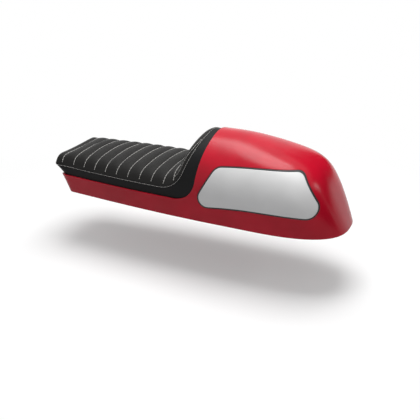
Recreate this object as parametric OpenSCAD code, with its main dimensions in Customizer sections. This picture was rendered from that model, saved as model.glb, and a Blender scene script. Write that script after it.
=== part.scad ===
// Single seat with a moulded tail hump, for a stripped-down road motorcycle.
// X runs rearwards, Z up; the origin is on the ground plane under the middle of the seat.

/* [Shell] */
// Length of the whole seat
seat_l = 717; // [690:1:790]
// Width of the bottom rim at the front
front_w = 180; // [160:2:200]
// Width of the bottom rim at the hump
hump_w = 226; // [206:2:240]
// Height of the hump at its highest point
hump_h = 184.5; // [176:0.5:192]
// Height of the tray that carries the pad
tray_h = 44; // [40:1:50]
// Thickness of the moulded wall
wall_t = 4; // [3:0.5:5]
// Width of the lip round the pad
lip_w = 3.5; // [3:0.5:5]
// Height of the pan floor above the bottom rim
pan_z = 30; // [27:0.5:33]
// Distance from the nose of the pad to the front of the bottom rim
front_setback = 33; // [25:1:40]
// Lean of the front wall, its top forward
front_rake = 22; // [10:1:28]
// Distance from the nose to the arch in front of the hump, at the tray
arch_pos = 338; // [328:1:348]
// Radius of the sweep from the tray up into the arch
arch_r = 55; // [45:1:65]
// Lean of the arch from the vertical
arch_lean = 7; // [3:1:12]
// Length of the rounded tail, measured along the rim
tail_l = 200; // [190:1:212]

/* [Pad] */
// Height of the seam round the top panel
seam_z = 67; // [62:1:72]
// Height of the stitch lines on the middle of the pad
pad_z = 97.5; // [90:0.5:105]
// Pitch of the sewn channels
channel_pitch = 32; // [28:1:34]
// Number of sewn channels
channel_count = 10; // [8:1:10]
// Distance from the nose to the first stitch line
first_channel = 22; // [20:1:28]
// Height of each channel above its stitch lines
channel_h = 4; // [2:0.5:6]
// Thickness of the padded cover
cover_t = 3; // [2:0.5:4]
// Thickness of the base board under the foam
board_t = 5; // [4:0.5:6]

/* [Number boards] */
// Thickness of a number board
plate_t = 1.6; // [1.2:0.1:2]
// Depth of the recess for a board and its edging
recess_d = 2; // [1.8:0.1:2.4]
// Width of the edging strip round a board
edging_w = 3; // [2:0.5:5]
// Length of a board along its bottom edge
plate_bottom_l = 297; // [260:1:300]
// Length of a board along its top edge
plate_top_l = 183; // [160:1:190]
// Height of a board, measured upright
plate_h = 88; // [80:1:92]
// Radius of the corners of a board
plate_r = 22; // [15:1:28]

/* [Fixings] */
// Diameter of the studs that hold the pad
stud_d = 6; // [5:0.5:6]
// Diameter of the frame bolts
frame_bolt_d = 8; // [6:0.5:10]
// Spacing of the frame bolts along the seat
frame_pitch_x = 200; // [180:5:220]
// Spacing of the frame bolts across the seat
frame_pitch_y = 120; // [110:2:130]
// Height of a frame boss under the pan
boss_h = 14; // [12:0.5:16]
// Diameter of a frame boss
boss_d = 20; // [18:1:24]

/* [Hidden] */
$fn = 48;

gap = 0.3; // clearance between soft pieces and at glued joints
pole = seat_l - tail_l; // middle of the rounded tail at the rim
crown_peak = arch_pos + 92; // middle of the rounded tail at the crown
widest = crown_peak + 10; // where the bottom rim reaches its full width
crown_fall = 0.0015; // how fast the crown line falls away from its peak
crown_slope = -2 * crown_fall * (pole - crown_peak);
crown_drop = crown_fall * pow(pole - crown_peak, 2);
wall_top = 68; // height at which the side walls start to roll over
tray_flare = 0.13; // outward slope of the tray's side walls
hump_flare = 0.09; // outward slope of the hump's side walls at the rim
hump_barrel = 0.0005; // barrel curve of the hump's side walls
tail_slope = -0.41; // slope of the tail's wall at the rim
tail_barrel = 0.0008; // barrel curve of the tail's wall
squareness = [[0, 2.7], [0.37, 3.2], [0.76, 3.35], [1, 2]]; // of the tail in plan, by share of height
side_full = [0.746, 0.283]; // fullness of the roll-over, at the wall and at the crown
tail_full = [1, 1];
corner_r = 10; // corner radius of the tray's front
sweep_from = arch_pos - 33; // where the middle of the pad starts to sweep up

red = [0.62, 0.03, 0.06];
black = [0.07, 0.07, 0.08];

// Common shaping functions

function smooth(t) = let (c = min(1, max(0, t))) c * c * (3 - 2 * c);
function mix(a, b, t) = a + (b - a) * t;
function bezier(p, t) = pow(1 - t, 3) * p[0] + 3 * t * pow(1 - t, 2) * p[1]
    + 3 * t * t * (1 - t) * p[2] + pow(t, 3) * p[3];
function at_seat(p) = [p[0] - seat_l / 2, p[1], p[2]];
function mirror_y(p) = [p[0], -p[1], p[2]];
function reversed(list) = [for (i = [len(list) - 1:-1:0]) list[i]];
function swapped(list) = [for (p = list) [p[1], p[0]]];

// Faces between two neighbouring rows of points that start at index a and b
function strip(a, b, n) = [for (i = [0:n - 2]) each
    [[a + i, b + i, b + i + 1], [a + i, b + i + 1, a + i + 1]]];

// Section of the hump: from the bottom rim up the wall and over to the middle, as [out, up]

wall_steps = 4;
roll_steps = 12;
function section(w, flare, barrel, full, crown, slope, bottom, rolls = roll_steps) = let (
        foot = [w + flare * wall_top - barrel * wall_top * wall_top, wall_top],
        lean = flare - 2 * barrel * wall_top,
        rise = (crown + slope * foot[0] - wall_top) / (1 - slope * lean),
        corner = foot + rise * [lean, 1],
        middle = [0, crown],
        path = [foot, foot + full[0] * (corner - foot), middle + full[1] * (corner - middle), middle])
    concat(
        [for (i = [0:wall_steps - 1]) let (z = mix(bottom, wall_top, i / wall_steps))
            [w + flare * z - barrel * z * z, z]],
        [for (i = [0:rolls]) bezier(path, i / rolls)]);

function rim_half(s) = front_w / 2 + (hump_w - front_w) / 2
    * sin(90 * min(1, max(0, (s - front_setback) / (widest - front_setback))));
function hump_share(s) = smooth((s - sweep_from + 104) / 145);
function side_section(s, inset, bottom = 0) = let (b = hump_share(s))
    section(rim_half(s) - inset, mix(tray_flare, hump_flare, b), hump_barrel * b, side_full,
        hump_h - inset, 0, bottom);

// Tail in side view, as [up, station], on over the crown to its peak
crown_steps = 12;
function tail_line(inset) = concat(
    [for (p = section(tail_l - inset, tail_slope, tail_barrel, tail_full,
        hump_h - inset - crown_drop, crown_slope, 0, 24)) [p[1], pole + p[0]]],
    [for (i = [1:crown_steps]) let (d = (pole - crown_peak) * cos(90 * i / crown_steps))
        [hump_h - inset - crown_fall * d * d, crown_peak + d]]);

// Every level of the tail is a quarter of a squared oval, behind a middle of its own
function height_share(z, inset) = min(1, max(0, z / (hump_h - inset)));
function pole_at(z, inset) = mix(pole, crown_peak, pow(height_share(z, inset), 3));
function squareness_at(z, inset) = lookup(height_share(z, inset), squareness);

outer_tail = tail_line(0);
outer_side = swapped(side_section(pole, 0));
// Outside half-width of the body at a station and a height
function half_at(s, z, inset = 0) = let (p = pole_at(z, inset)) s <= p
    ? lookup(z, swapped(side_section(s, inset)))
    : let (n = squareness_at(z, 0), along = (s - p) / (lookup(z, outer_tail) - p))
        lookup(z, outer_side) * pow(max(0.001, 1 - pow(along, n)), 1 / n);

// The body as rows of points, each from one rim over the crown to the other rim

function full_row(side) = concat(side, [for (i = [len(side) - 2:-1:0]) mirror_y(side[i])]);
function front_row(angle, inset, bottom) = let (
        s = front_setback + inset + corner_r * (1 - cos(angle)),
        cut = corner_r * (1 - sin(angle)))
    [for (p = side_section(s, inset, bottom))
        [s - p[1] * tan(front_rake) * cos(angle), max(0, p[0] - cut), p[1]]];
function mid_row(s, inset, bottom) = [for (p = side_section(s, inset, bottom)) [s, p[0], p[1]]];
// Rows that lean over from the upright ones to the middles of the tail's levels
function lean_row(share, inset, bottom) = let (levels = side_section(pole, inset, bottom))
    [for (i = [0:len(levels) - 1]) let (
            z = levels[i][1], s = mix(lean_from, pole_at(z, inset), share))
        [s, side_section(s, inset, bottom)[i][0], z]];
function tail_row(angle, inset, bottom) = let (line = tail_line(inset))
    [for (p = side_section(pole, inset, bottom)) let (
            middle = pole_at(p[1], inset),
            n = squareness_at(p[1], inset),
            k = pow(pow(cos(angle), n) + pow(sin(angle), n), -1 / n))
        [middle + (lookup(p[1], line) - middle) * cos(angle) * k, p[0] * sin(angle) * k, p[1]]];

lean_from = crown_peak - 35;
front_angles = [0, 30, 60, 90];
mid_stations = [for (i = [0:9]) mix(60, lean_from, i / 9)];
lean_shares = [0.25, 0.5, 0.75];
tail_angles = [for (i = [0:10]) 90 - 9 * i];

function body_rows(inset, bottom) = concat(
    [for (a = front_angles) full_row(front_row(a, inset, bottom))],
    [for (s = mid_stations) full_row(mid_row(s, inset, bottom))],
    [for (f = lean_shares) full_row(lean_row(f, inset, bottom))],
    [for (a = tail_angles) full_row(tail_row(a, inset, bottom))]);

// Closed solid over the rows; all tail rows share the pole, and the last one folds onto itself
module body(inset = 0, bottom = 0) {
    rows = body_rows(inset, bottom);
    n = len(rows[0]);
    half = (n - 1) / 2;
    last = len(rows) - 1;
    first_tail = last - len(tail_angles) + 1;
    function id(r, c) = (r > first_tail && c == half) ? first_tail * n + half
        : (r == last && c > half) ? r * n + (n - 1 - c) : r * n + c;
    skin = [for (r = [0:last - 1], c = [0:n - 2]) each
        [[id(r, c), id(r + 1, c), id(r + 1, c + 1)], [id(r, c), id(r + 1, c + 1), id(r, c + 1)]]];
    front = [for (c = [0:half - 1]) each c == half - 1 ? [[c, half, n - 1 - c]]
        : [[c, c + 1, n - 2 - c], [c, n - 2 - c, n - 1 - c]]];
    floor_faces = [for (r = [0:last - 1]) each r == last - 1
        ? [[id(r, 0), id(r, n - 1), id(r + 1, 0)]]
        : [[id(r, 0), id(r, n - 1), id(r + 1, n - 1)], [id(r, 0), id(r + 1, n - 1), id(r + 1, 0)]]];
    used = [for (f = concat(skin, front, floor_faces))
        if (f[0] != f[1] && f[1] != f[2] && f[0] != f[2]) f];
    polyhedron([for (row = rows) each [for (p = row) at_seat(p)]], used, convexity = 8);
}

// Side view lines of the shell: ledge, sweep and arch

sweep_end = 90 - arch_lean;
arch_foot = [arch_pos + arch_r * sin(sweep_end), tray_h + arch_r * (1 - cos(sweep_end))];
function arch_line(z) = arch_foot[0] + (z - arch_foot[1]) * tan(arch_lean);
far = 100; // overshoot of a cut past the body

// Extrudes a side view outline right across the body
module across(points) translate([-seat_l / 2, 0, 0]) rotate([90, 0, 0])
    linear_extrude(height = hump_w + far, center = true) polygon(points);

bulkhead_set = 12; // depth of the pad's pocket behind the arch
bulkhead_foot = arch_line(pan_z) + bulkhead_set;
module over_tray() across(concat(
    [[-far, tray_h], [arch_pos, tray_h]],
    [for (i = [1:10]) let (a = sweep_end * i / 10)
        [arch_pos + arch_r * sin(a), tray_h + arch_r * (1 - cos(a))]],
    [[arch_line(hump_h + far), hump_h + far], [-far, hump_h + far]]));
module over_pan(down, back) across([[-far, pan_z - down],
    [arch_line(pan_z - down) + bulkhead_set + back, pan_z - down],
    [arch_line(hump_h + far) + bulkhead_set + back, hump_h + far], [-far, hump_h + far]]);

// Number board: its outline in side view, laid on the wall of the hump

plate_foot = [arch_pos + 47, 33]; // where the bottom edge would meet the front edge
plate_tilt = 2.25; // rise of the bottom edge towards the tail, in degrees
plate_top_set = 57; // how far the top edge starts behind the bottom edge
plate_bow = 10; // rise of the bottom and top edges at their middle
plate_rings = 4;
plate_corners = [for (p = [[0, 0], [plate_bottom_l, 0], [plate_top_set + plate_top_l, plate_h],
        [plate_top_set, plate_h]])
    plate_foot + [p[0] * cos(plate_tilt) - p[1] * sin(plate_tilt),
        p[0] * sin(plate_tilt) + p[1] * cos(plate_tilt)]];
plate_middle = (plate_corners[0] + plate_corners[1] + plate_corners[2] + plate_corners[3]) / 4;
corner_steps = 5;
edge_steps = [9, 5, 6, 3]; // pieces of the bottom, rear, top and front edge

function unit(v) = v / norm(v);
function angle_of(v) = atan2(v[1], v[0]);
// Rounded corner of the outline, grown outwards by grow
function corner_arc(i, grow) = let (
        p = plate_corners[i],
        u = unit(plate_corners[(i + 3) % 4] - p),
        v = unit(plate_corners[(i + 1) % 4] - p),
        half = acos(u * v) / 2,
        middle = p + unit(u + v) * plate_r / sin(half),
        turn = 180 - 2 * half,
        first = angle_of(-unit(u + v)) - turn / 2)
    [for (k = [0:corner_steps]) middle + (plate_r + grow)
        * [cos(first + turn * k / corner_steps), sin(first + turn * k / corner_steps)]];
function bowed(p) = p
    + [0, plate_bow * (1 - pow((p[0] - plate_middle[0]) / (plate_bottom_l / 2), 2))];
function plate_outline(grow) = let (arcs = [for (i = [0:3]) corner_arc(i, grow)])
    [for (i = [0:3]) each concat([for (p = arcs[i]) bowed(p)], [for (k = [1:edge_steps[i] - 1])
        bowed(mix(arcs[i][corner_steps], arcs[(i + 1) % 4][0], k / edge_steps[i]))])];
plate_around = len(plate_outline(0));

function on_wall(p, depth) = at_seat([p[0], depth - half_at(p[0], p[1]), p[1]]);
function plate_ring(share, grow, depth) = [for (p = plate_outline(grow))
    on_wall(plate_middle + (p - plate_middle) * share, depth)];

// Closed solid between stacked loops of equal length; the first and last close on a point
function loop_faces(a, b, n) = [for (i = [0:n - 1]) let (j = (i + 1) % n) each
    [[a + i, a + j, b + j], [a + i, b + j, b + i]]];
inner_shares = [for (k = [1:plate_rings - 1]) k / plate_rings];
// Slab that follows the wall, between two depths; a cut has one more ring, grown by the edging
module plate_slab(outer, inner, grows) {
    n = plate_around;
    function side_rings(depth) = concat(
        [for (f = inner_shares) plate_ring(f, 0, depth)], [for (g = grows) plate_ring(1, g, depth)]);
    loops = concat(side_rings(outer), reversed(side_rings(inner)));
    tips = [on_wall(plate_middle, outer), on_wall(plate_middle, inner)];
    rings = len(loops);
    tip = rings * n;
    faces = concat([for (r = [0:rings - 2]) each loop_faces(r * n, (r + 1) * n, n)],
        [for (i = [0:n - 1]) [tip, (i + 1) % n, i]],
        [for (i = [0:n - 1]) let (a = (rings - 1) * n) [a + i, a + (i + 1) % n, tip + 1]]);
    polyhedron(concat([for (loop = loops) each loop], tips), faces, convexity = 4);
}
module edging_solid() {
    n = plate_around;
    back = recess_d - gap / 2;
    loops = [plate_ring(1, edging_w - gap, 0), plate_ring(1, edging_w - gap, back),
        plate_ring(1, gap, back), plate_ring(1, gap, 0)];
    faces = [for (r = [0:3]) each loop_faces(r * n, ((r + 1) % 4) * n, n)];
    polyhedron([for (loop = loops) each loop], faces, convexity = 4);
}

// Pad: each station is named by its travel from the nose, back along the pad and up the bolster.
// A station gives a row of cover points and the points under its ends, on the ledge and in the pocket.

nose_r = 18; // radius of the nose in plan and in side view
settle = 100; // travel at which stations line up from seam to pan
sweep_reach = 48; // reach of the sweep's first handle
seam_start = sweep_from - 5; // where the seam starts to sweep up
seam_r = 60; // radius of the seam's sweep
seam_lean = 19; // lean of the seam up the bolster
bolster_travel = 124; // travel from the end of the seam's sweep to the bolster's top
seam_set = 1; // how far the seam stands inside the base line
pad_fit = 0.5; // side clearance between the pad and its pocket
skirt = 8; // how far the side band reaches into the pocket
pad_in = lip_w + pad_fit;
foam_z = pan_z + board_t + gap;
seam_turn = 90 - seam_lean;
sweep_travel = seam_start + seam_r * seam_turn * PI / 180;
end_travel = sweep_travel + bolster_travel;
top_rise = 15; // rise of the bolster's top edge from its ends to its middle
top_z = hump_h - pad_in - gap - top_rise;
bolster_line = [[sweep_from, pad_z], [sweep_from + sweep_reach, pad_z],
    [sweep_from + 51, 0.83 * top_z], [sweep_from + 80, top_z + top_rise - 0.5]];
last_channel = first_channel + channel_pitch * channel_count;

function climb(t) = t < sweep_travel ? (t - sweep_from) / (3 * sweep_reach)
    : mix((sweep_travel - sweep_from) / (3 * sweep_reach), 0.993, ease(t));
function bolster_share(t) = min(1, max(0, (t - sweep_travel) / bolster_travel));
function ease(t) = (bolster_share(t) + sin(90 * bolster_share(t))) / 2;
function nose_turn(t) = min(90, 90 * t / nose_r);

// Middle line of the cover in side view, and its outward normal
function middle(t) = t >= sweep_from ? bezier(bolster_line, climb(t))
    : t >= nose_r ? [t, pad_z]
    : [nose_r * (1 - cos(nose_turn(t))), mix(seam_z + 1, pad_z, sin(nose_turn(t)))];
function normal(t) = let (v = unit(middle(t + 0.2) - middle(max(0, t - 0.2)))) [-v[1], v[0]];

// Seam in side view
function seam_line(t, depth) = let (a = min(seam_turn, (t - seam_start) * 180 / PI / seam_r))
    t < nose_r ? [nose_r * (1 - cos(nose_turn(t))), seam_z]
    : t < seam_start ? [t, seam_z]
    : t < sweep_travel ? [seam_start + seam_r * sin(a), seam_z + seam_r * (1 - cos(a))]
    : let (z = mix(seam_z + seam_r * (1 - cos(a)), top_z - depth, ease(t)))
        [seam_start + seam_r * sin(a) + (z - seam_z - seam_r * (1 - cos(a))) * tan(seam_lean), z];
function seam_half(t, depth) = let (
        p = seam_line(t, depth), share = smooth((p[0] - sweep_from + 24) / 60))
    half_at(p[0], mix(tray_h, p[1], share), pad_in + depth) - seam_set
        - nose_r * (1 - sin(nose_turn(t)));

// Drop from the middle of a row to its seam, across the row from 1 to -1
columns = [1, 0.97, 0.93, 0.87, 0.77, 0.6, 0.3, 0, -0.3, -0.6, -0.77, -0.87, -0.93, -0.97, -1];
function fall(e) = 0.43 * e * e + 0.57 * pow(e, 10);
inner_roll = [for (p = reversed(side_section(widest, pad_in))) if (p[1] >= wall_top) p];
function roll_drop(y) = hump_h - pad_in - lookup(abs(y), inner_roll);
// On the bolster the rows turn into the curve of the arch
function row_drop(e, t, w) = mix(fall(e), roll_drop(e * w) / roll_drop(w), smooth(bolster_share(t)));
function puff(t) = t > last_channel ? 0
    : t < first_channel ? channel_h / 2 * sin(180 * t / first_channel)
    : channel_h * abs(sin(180 * (t - first_channel) / channel_pitch));
function cover_row(t, depth, raised = 0) = let (
        m = middle(t), n = normal(t), p = seam_line(t, depth), w = seam_half(t, depth))
    [for (e = columns) let (f = row_drop(e, t, w), h = raised * puff(t) * (1 - pow(e, 8)) - depth)
        at_seat([mix(m[0], p[0], f) + n[0] * h * (1 + (h < 0 ? 0.8 : -1) * pow(e, 8)), w * e,
            mix(m[1], p[1], f) + n[1] * h * (1 - pow(e, 10))])];

// Base line on the ledge and the arch, and the line in the pocket under it, as [s, z]
function front_s(turn, z, inset) = front_setback + inset + corner_r * (1 - cos(turn))
    - z * tan(front_rake) * cos(turn);
function settled_s(t, z, inset) = t < nose_r ? front_s(nose_turn(t), z, inset)
    : t < settle ? mix(front_s(90, z, inset), settle, (t - nose_r) / (settle - nose_r)) : t;
spread_start = sweep_from - 14; // travel at which the base line starts to run ahead of the seam
sweep_z = seam_z + seam_r * (1 - cos(seam_turn)); // height of the seam at the end of its sweep
function along(points, d) = let (l = norm(points[1] - points[0]))
    d <= l || len(points) == 2 ? mix(points[0], points[1], d / l)
    : along([for (i = [1:len(points) - 1]) points[i]], d - l);
function length_of(points) = len(points) < 2 ? 0
    : norm(points[1] - points[0]) + length_of([for (i = [1:len(points) - 1]) points[i]]);
base_path = concat([[spread_start, tray_h]],
    [for (i = [0:8]) let (a = sweep_end * i / 8)
        [arch_pos + arch_r * sin(a), tray_h + arch_r * (1 - cos(a))]],
    [[arch_line(sweep_z), sweep_z]]);
function bulkhead(z) = arch_line(z) + bulkhead_set - pad_fit;
pocket_path = [[spread_start, foam_z], [bulkhead(foam_z), foam_z], [bulkhead(sweep_z), sweep_z]];
function spread(t) = (t - spread_start) / (sweep_travel - spread_start);
function top_level(t, depth) = mix(sweep_z, top_z - depth, ease(t));
function base_line(t, depth) = t < spread_start ? [settled_s(t, tray_h, pad_in + depth), tray_h]
    : t < sweep_travel ? along(base_path, spread(t) * length_of(base_path))
    : let (z = top_level(t, depth)) [arch_line(z), z];
function pocket_line(t, depth) = t < spread_start ? [settled_s(t, foam_z, pad_in + depth), foam_z]
    : t < sweep_travel ? along(pocket_path, spread(t) * length_of(pocket_path))
    : let (z = top_level(t, depth)) [bulkhead(z), z];
function under_half(p, t, depth) = half_at(p[0], p[1], pad_in + depth)
    - corner_r * (1 - sin(nose_turn(t)));
function under_point(p, t, e, depth) = let (
        w = under_half(p, t, depth),
        bulge = t < sweep_travel ? 0 : top_rise * ease(t) * (1 - roll_drop(e * w) / roll_drop(w)))
    at_seat([p[0], w * e, p[1] + bulge]);
function base_point(t, e, depth) = under_point(base_line(t, depth), t, e, depth);
function pocket_point(t, e, depth) = under_point(pocket_line(t, depth), t, e, depth);
function skirt_point(t, e, depth) = let (b = base_point(t, e, depth))
    b + skirt * unit(pocket_point(t, e, depth) - b);

// Closed solid between an upper and a lower grid of rows, with loops of points between their edges
function edge_ids(rows, cols, start) = concat(
    [for (c = [0:cols - 1]) start + c],
    [for (r = [1:rows - 1]) start + r * cols + cols - 1],
    [for (c = [cols - 2:-1:0]) start + (rows - 1) * cols + c],
    [for (r = [rows - 2:-1:1]) start + r * cols]);
function wall_faces(a, b) = [for (i = [0:len(a) - 1]) let (j = (i + 1) % len(a)) each
    [[a[i], a[j], b[j]], [a[i], b[j], b[i]]]];
function flipped(faces) = [for (f = faces) [f[2], f[1], f[0]]];
module cushion(upper, lower, loops = []) {
    rows = len(upper);
    cols = len(upper[0]);
    n = rows * cols;
    around = 2 * (rows + cols) - 4;
    rims = concat([edge_ids(rows, cols, 0)],
        [for (k = [0:len(loops) - 1]) [for (i = [0:around - 1]) 2 * n + k * around + i]],
        [edge_ids(rows, cols, n)]);
    faces = concat([for (r = [0:rows - 2]) each strip(r * cols, (r + 1) * cols, cols)],
        flipped([for (r = [0:rows - 2]) each strip(n + r * cols, n + (r + 1) * cols, cols)]),
        [for (k = [0:len(rims) - 2]) each wall_faces(rims[k], rims[k + 1])]);
    polyhedron(concat([for (row = upper) each row], [for (row = lower) each row],
        [for (loop = loops) each loop]), faces, convexity = 6);
}

// Stations of each piece
channel_steps = 5;
nose_stations = [0, 6, 12, nose_r];
panel_stations = concat(nose_stations,
    [for (i = [0:channel_steps * channel_count]) first_channel + i * channel_pitch / channel_steps]);
face_stations = [for (i = [0:14]) mix(last_channel + gap, end_travel, i / 14)];
core_stations = concat(nose_stations, [for (i = [0:8]) mix(2 * nose_r, seam_start, i / 8)],
    [for (t = panel_stations) if (t > seam_start + 1 && t < last_channel - 1) t], face_stations);
function edge_stations(stations) = let (last = len(stations) - 1) concat(
    [for (e = columns) [stations[0], e]],
    [for (i = [1:last]) [stations[i], -1]],
    [for (i = [1:len(columns) - 1]) [stations[last], -columns[i]]],
    [for (i = [last - 1:-1:1]) [stations[i], 1]]);

module cover_slab(stations) cushion([for (t = stations) cover_row(t, 0, 1)],
    [for (t = stations) cover_row(t, cover_t)]);
module pleated_panel() color(black) cover_slab(panel_stations);
module bolster_facing() color(black) cover_slab(face_stations);
module foam_core() {
    depth = cover_t + gap;
    color([0.9, 0.85, 0.6]) cushion([for (t = core_stations) cover_row(t, depth)],
        [for (t = core_stations) [for (e = columns) pocket_point(t, e, depth)]],
        [[for (q = edge_stations(core_stations)) base_point(q[0], q[1], depth)]]);
}

function cover_edge(stations, depth) = let (
        rows = [for (t = stations) cover_row(t, depth)], cols = len(columns))
    [for (id = edge_ids(len(stations), cols, 0)) rows[floor(id / cols)][id % cols]];
module side_band() {
    edge = edge_stations(core_stations);
    n = len(edge);
    rings = [for (depth = [0, cover_t]) let (
            top = cover_edge(core_stations, depth),
            base = [for (q = edge) base_point(q[0], q[1], depth)])
        each [[for (i = [0:n - 1]) top[i] + gap * unit(base[i] - top[i])], base,
            [for (q = edge) skirt_point(q[0], q[1], depth)]]];
    faces = concat([for (k = [0:1]) each loop_faces(k * n, (k + 1) * n, n)],
        flipped([for (k = [3:4]) each loop_faces(k * n, (k + 1) * n, n)]),
        loop_faces(2 * n, 5 * n, n), flipped(loop_faces(0, 3 * n, n)));
    color([0.04, 0.04, 0.05]) polyhedron([for (ring = rings) each ring], faces, convexity = 6);
}

// Base board of the pad, and the fixings through it

board_fit = 1; // clearance round the base board in its pocket
stud_stations = [75, 200, 325];
stud_side = 35; // distance of the studs from the middle
head_d = 18; // diameter of a stud's flat head
head_t = 2; // thickness of a stud's flat head
washer_d = 14;
washer_t = 1.2;
nut_across = 10; // width of a nut across its flats
nut_h = 5;
stud_end = 4; // how far a stud stands out of its nut
thread_gap = 0.1;
pan_under = pan_z - wall_t;
frame_middle = arch_pos - 123; // middle of the frame bolts, from the nose
buffer_set = 50; // distance from a frame bolt to its rubber buffer
buffer_d = 28;
flange_d = 36; // flange that bonds a boss to the pan
flange_t = 2.5;
steel = [0.55, 0.56, 0.58];

module at_studs() for (s = stud_stations, y = [-stud_side, stud_side])
    translate([s - seat_l / 2, y, 0]) children();
module frame_place(end, side, inner = 0)
    translate([frame_middle - seat_l / 2 + end * (frame_pitch_x / 2 - inner),
        side * frame_pitch_y / 2, pan_under]) children();

function board_half(s) = half_at(s, pan_z) - lip_w - board_fit;
board_front = [for (a = [0:15:90]) let (s = front_s(a, pan_z, lip_w + board_fit))
    [s, board_half(s) - corner_r * (1 - sin(a))]];
board_side = [for (i = [0:10]) let (s = mix(60, bulkhead_foot - 25, i / 10)) [s, board_half(s)]];
board_outline = concat(board_front, board_side,
    [[bulkhead_foot - board_fit, board_half(bulkhead_foot - board_fit)]]);
module pad_base() color([0.25, 0.22, 0.2]) difference() {
    translate([-seat_l / 2, 0, pan_z]) linear_extrude(height = board_t)
        polygon(concat(board_outline, [for (p = reversed(board_outline)) [p[0], -p[1]]]));
    at_studs() {
        translate([0, 0, pan_z - 1]) cylinder(d = stud_d + 2 * gap, h = board_t + 2);
        translate([0, 0, pan_z + board_t - head_t]) cylinder(d = head_d + 2 * gap, h = head_t + 1);
    }
}
module pad_studs() color(steel) at_studs() {
    low = pan_under - washer_t - nut_h - stud_end;
    head_z = pan_z + board_t - head_t;
    rotate_extrude() polygon([[0, low], [stud_d / 2 - 1, low], [stud_d / 2, low + 1],
        [stud_d / 2, head_z], [head_d / 2, head_z], [head_d / 2, head_z + head_t], [0, head_z + head_t]]);
}
module ring(outer, inner, z, h) translate([0, 0, z]) difference() {
    cylinder(d = outer, h = h);
    translate([0, 0, -1]) cylinder(d = inner, h = h + 2);
}
module pad_washers() color(steel) at_studs()
    ring(washer_d, stud_d + 2 * gap, pan_under - washer_t, washer_t);
module pad_nuts() color(steel) at_studs() translate([0, 0, pan_under - washer_t - nut_h])
    difference() {
        cylinder(d = nut_across / cos(30), h = nut_h, $fn = 6);
        translate([0, 0, -1]) cylinder(d = stud_d + 2 * thread_gap, h = nut_h + 2);
    }

// Steel boss with a threaded blind hole, its flange bonded under the pan
module frame_boss() color(steel) rotate_extrude() polygon([[0, 0], [flange_d / 2, 0],
    [flange_d / 2, -flange_t], [boss_d / 2, -flange_t], [boss_d / 2, -boss_h + 1],
    [boss_d / 2 - 1, -boss_h], [frame_bolt_d / 2, -boss_h], [frame_bolt_d / 2, -flange_t], [0, -flange_t]]);
// Rubber rest between the pan and a frame rail, as deep as a boss
module rubber_buffer() color([0.1, 0.1, 0.1]) rotate_extrude() polygon([[0, 0], [buffer_d / 2, 0],
    [buffer_d / 2, -boss_h + 3], [buffer_d / 2 - 3, -boss_h], [0, -boss_h]]);

// Number board and its edging, on the left; the right side is their mirror image

module number_board() color([0.86, 0.87, 0.88])
    plate_slab(recess_d - gap / 2 - plate_t, recess_d - gap / 2, [0]);
module board_edging() color(black) edging_solid();
module right_side() mirror([0, 1, 0]) children();

module plate_cut() plate_slab(-far / 20, recess_d, [0, edging_w]);
module tail_shell() color(red) difference() {
    body();
    over_tray();
    intersection() {
        body(inset = lip_w);
        over_pan(0, 0);
    }
    difference() {
        body(inset = wall_t, bottom = -far / 20);
        over_pan(wall_t, wall_t);
    }
    plate_cut();
    right_side() plate_cut();
    at_studs() translate([0, 0, pan_under - 1]) cylinder(d = stud_d + 2 * gap, h = wall_t + 2);
}

tail_shell();
number_board();  // number_board_left
right_side() number_board();  // number_board_right
board_edging();  // board_edging_left
right_side() board_edging();  // board_edging_right
pad_base();
foam_core();
pleated_panel();
bolster_facing();
side_band();
pad_studs();
pad_washers();
pad_nuts();
frame_place(-1, -1) frame_boss();  // frame_boss_front_left
frame_place(-1, 1) frame_boss();  // frame_boss_front_right
frame_place(1, -1) frame_boss();  // frame_boss_rear_left
frame_place(1, 1) frame_boss();  // frame_boss_rear_right
frame_place(-1, -1, buffer_set) rubber_buffer();  // rubber_buffer_front_left
frame_place(-1, 1, buffer_set) rubber_buffer();  // rubber_buffer_front_right
frame_place(1, -1, buffer_set) rubber_buffer();  // rubber_buffer_rear_left
frame_place(1, 1, buffer_set) rubber_buffer();  // rubber_buffer_rear_right
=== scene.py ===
# Scene for a single motorcycle seat with a moulded tail hump.
# Measures are in millimetres with x from the nose of the pad. A mesh is in metres in the seat's frame.
import math

import bmesh
import bpy
import numpy as np
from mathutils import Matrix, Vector


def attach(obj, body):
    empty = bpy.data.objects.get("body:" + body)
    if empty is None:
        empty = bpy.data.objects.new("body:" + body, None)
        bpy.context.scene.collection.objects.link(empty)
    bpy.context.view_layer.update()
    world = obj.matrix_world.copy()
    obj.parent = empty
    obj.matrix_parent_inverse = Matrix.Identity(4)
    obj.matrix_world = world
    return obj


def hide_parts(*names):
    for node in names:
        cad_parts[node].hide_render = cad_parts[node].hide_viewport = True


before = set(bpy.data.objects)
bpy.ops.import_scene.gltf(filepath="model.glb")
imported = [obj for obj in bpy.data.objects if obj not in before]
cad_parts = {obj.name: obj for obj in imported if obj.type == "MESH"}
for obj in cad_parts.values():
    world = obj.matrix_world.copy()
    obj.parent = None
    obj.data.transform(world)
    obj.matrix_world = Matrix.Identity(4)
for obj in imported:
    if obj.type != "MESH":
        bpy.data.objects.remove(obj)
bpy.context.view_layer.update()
body = "root"


# Camera, taken from the fitted perspective of the photograph

view = {"azimuth": 25.0, "elevation": 24.318, "distance": 1.5665, "focalPixels": 650.04, "frame": 420,
        "aim": (0.0187, 0.0, -0.0232)}


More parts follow.
